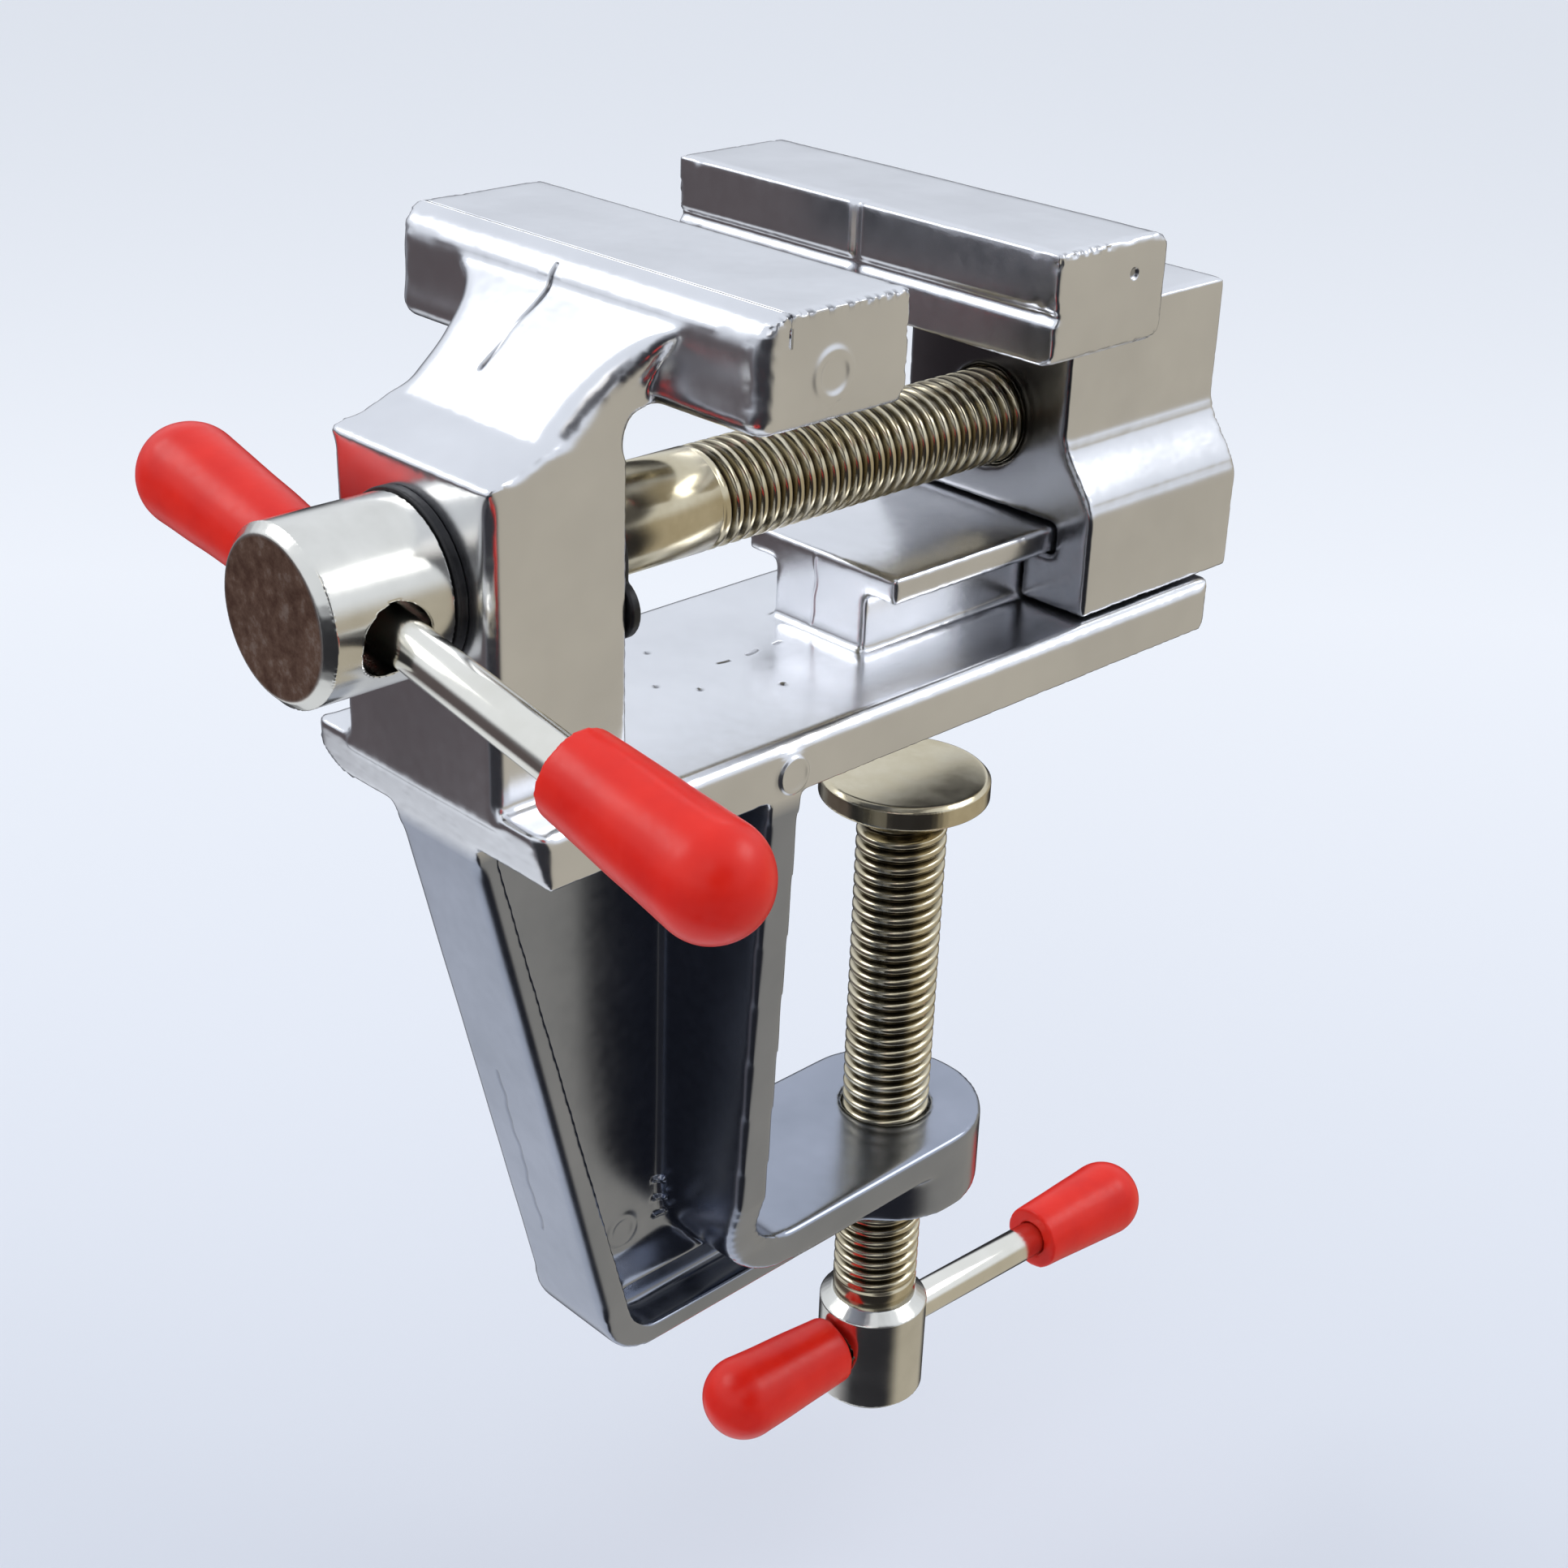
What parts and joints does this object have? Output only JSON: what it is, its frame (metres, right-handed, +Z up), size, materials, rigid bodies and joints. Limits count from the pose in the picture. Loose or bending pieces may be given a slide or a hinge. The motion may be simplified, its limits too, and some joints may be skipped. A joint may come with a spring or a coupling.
{
  "type": "bench vise",
  "caption": "Small cast aluminium bench vise with a screw-driven sliding jaw, capped tommy bars and a screw clamp under its base that grips a table edge.",
  "frame": {"origin": "where the axis of the clamp screw meets the table seat, which is the flat underside of the base plate", "axes": "+Z up, out of the table; +Y from the screw head towards the sliding jaw, along the main screw; +X to the right seen from the screw head"},
  "size_m": [0.0622, 0.0992, 0.1174],
  "materials": {
    "casting": "bright tumbled die casting",
    "plated_steel": "bright nickel plated turned steel",
    "black_steel": "black oxide",
    "red_cap": "dipped soft vinyl, satin"
  },
  "bodies": {
    "frame": {"clamp_frame": "casting"},
    "jaw": {"sliding_jaw": "casting"},
    "screw": {"main_screw": "plated_steel", "thrust_washer": "black_steel", "retaining_clip": "black_steel"},
    "screw_bar": {"main_bar": "plated_steel", "main_bar_cap_left": "red_cap", "main_bar_cap_right": "red_cap"},
    "pad": {"clamp_pad": "plated_steel"},
    "clamp": {"clamp_screw": "plated_steel"},
    "clamp_handle": {"clamp_bar": "plated_steel", "clamp_bar_cap_front": "red_cap", "clamp_bar_cap_rear": "red_cap"}
  },
  "joints": [
    {"name": "main_screw_turn", "type": "hinge", "parent": "frame", "child": "screw", "pos_m": [0, -0.045, 0.019], "axis": [0, 1, 0], "range_deg": [-3168, 4176]},
    {"name": "jaw_slide", "type": "slide", "parent": "frame", "child": "jaw", "axis": [0, 1, 0], "range_m": [-0.0145, 0.011]},
    {"name": "main_bar_slide", "type": "slide", "parent": "screw", "child": "screw_bar", "axis": [0.9848, 0, -0.1736], "range_m": [-0.0172, 0]},
    {"name": "pad_lift", "type": "slide", "parent": "frame", "child": "pad", "axis": [0, 0, 1], "range_m": [-0.0298, 0.0112]},
    {"name": "clamp_screw_turn", "type": "hinge", "parent": "pad", "child": "clamp", "pos_m": [0, 0, -0.03], "axis": [0, 0, 1], "range_deg": [-8582, 3225]},
    {"name": "clamp_bar_slide", "type": "slide", "parent": "clamp", "child": "clamp_handle", "axis": [0.0523, 0.9986, 0], "range_m": [-0.0171, 0]}
  ],
  "couplings": [
    {"joint": "jaw_slide", "follows": "main_screw_turn", "m_per_rad": -0.00019894},
    {"joint": "pad_lift", "follows": "clamp_screw_turn", "m_per_rad": 0.00019894}
  ]
}
